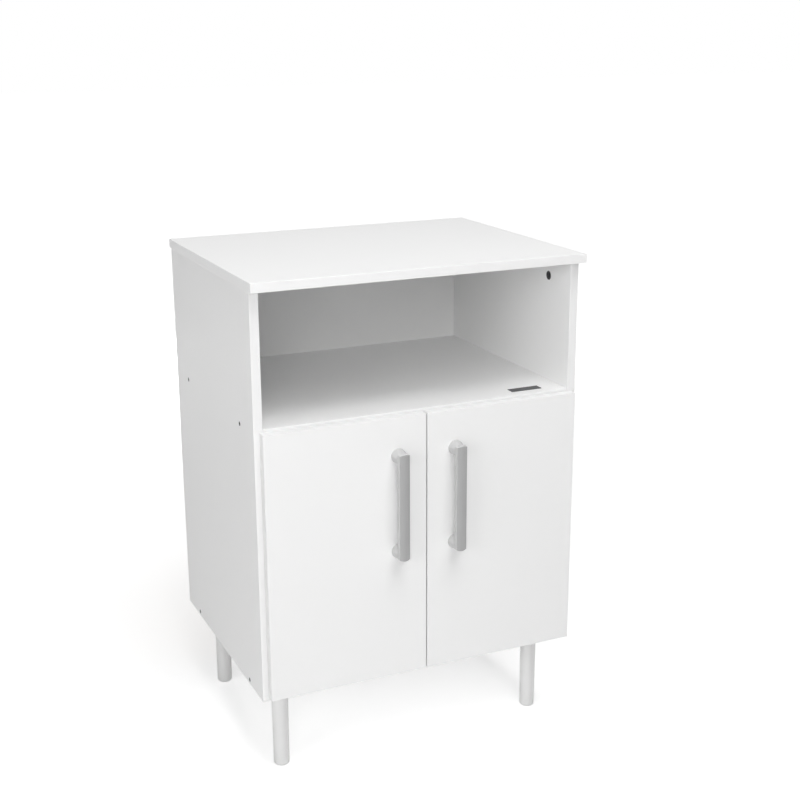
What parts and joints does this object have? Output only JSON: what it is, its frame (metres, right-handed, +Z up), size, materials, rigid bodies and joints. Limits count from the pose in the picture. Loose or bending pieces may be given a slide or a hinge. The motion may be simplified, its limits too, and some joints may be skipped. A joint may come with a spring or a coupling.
{
  "type": "microwave stand",
  "caption": "White board kitchen stand: a flat overhanging top over an open niche, hinged half-overlay doors with bar handles below, on short round legs.",
  "frame": {"origin": "on the floor, under the middle of the whole stand's box, handles included", "axes": "+Z up, the doors face -Y, +X to the right of someone facing the doors"},
  "size_m": [0.566, 0.464, 0.829],
  "materials": {
    "white_board": "satin white coated particle board",
    "white_hardboard": "white lacquered hardboard",
    "satin_handle": "satin silver-grey",
    "white_leg": "satin white moulding",
    "dowel_wood": "raw beech",
    "black_cam": "black",
    "dark_screw": "dark",
    "zinc_steel": "zinc plated"
  },
  "bodies": {
    "cabinet": {"top_panel": "white_board", "side_panel_left": "white_board", "side_panel_right": "white_board", "niche_shelf": "white_board", "bottom_panel": "white_board", "back_panel": "white_hardboard", "inner_shelf": "white_board", "shelf_pins": "zinc_steel", "cam_locks": "black_cam", "cam_bolts": "zinc_steel", "dowels": "dowel_wood", "connector_screws": "dark_screw", "back_panel_nails": "zinc_steel", "leg_front_left": "white_leg", "leg_front_right": "white_leg", "leg_back_left": "white_leg", "leg_back_right": "white_leg", "leg_plates": "white_leg", "leg_plate_screws": "zinc_steel", "hinge_plates_left": "zinc_steel", "hinge_plates_right": "zinc_steel", "hinge_plate_screws_left": "zinc_steel", "hinge_plate_screws_right": "zinc_steel", "hinge_arms_left": "zinc_steel", "hinge_arms_right": "zinc_steel", "hinge_arm_pins_left": "zinc_steel", "hinge_arm_pins_right": "zinc_steel", "hinge_arm_screws_left": "zinc_steel", "hinge_arm_screws_right": "zinc_steel"},
    "hinge_levers_left": {"hinge_levers_left": "zinc_steel"},
    "door_left": {"door_left": "white_board", "handle_left": "satin_handle", "handle_screws_left": "zinc_steel", "hinge_cups_left": "zinc_steel", "hinge_cup_screws_left": "zinc_steel", "hinge_cup_pins_left": "zinc_steel"},
    "hinge_levers_right": {"hinge_levers_right": "zinc_steel"},
    "door_right": {"door_right": "white_board", "handle_right": "satin_handle", "handle_screws_right": "zinc_steel", "hinge_cups_right": "zinc_steel", "hinge_cup_screws_right": "zinc_steel", "hinge_cup_pins_right": "zinc_steel"}
  },
  "joints": [
    {"name": "hinge_levers_left_turn", "type": "hinge", "parent": "cabinet", "child": "hinge_levers_left", "pos_m": [-0.24, -0.192, 0], "axis": [0, 0, 1], "range_deg": [0, 60]},
    {"name": "door_left_swing", "type": "hinge", "parent": "hinge_levers_left", "child": "door_left", "pos_m": [-0.2585, -0.193, 0], "axis": [0, 0, -1], "range_deg": [0, 160]},
    {"name": "hinge_levers_right_turn", "type": "hinge", "parent": "cabinet", "child": "hinge_levers_right", "pos_m": [0.24, -0.192, 0], "axis": [0, 0, -1], "range_deg": [0, 60]},
    {"name": "door_right_swing", "type": "hinge", "parent": "hinge_levers_right", "child": "door_right", "pos_m": [0.2585, -0.193, 0], "axis": [0, 0, 1], "range_deg": [0, 160]}
  ],
  "couplings": [
    {"joint": "hinge_levers_left_turn", "follows": "door_left_swing", "ratio": 0.375},
    {"joint": "hinge_levers_right_turn", "follows": "door_right_swing", "ratio": 0.375}
  ]
}
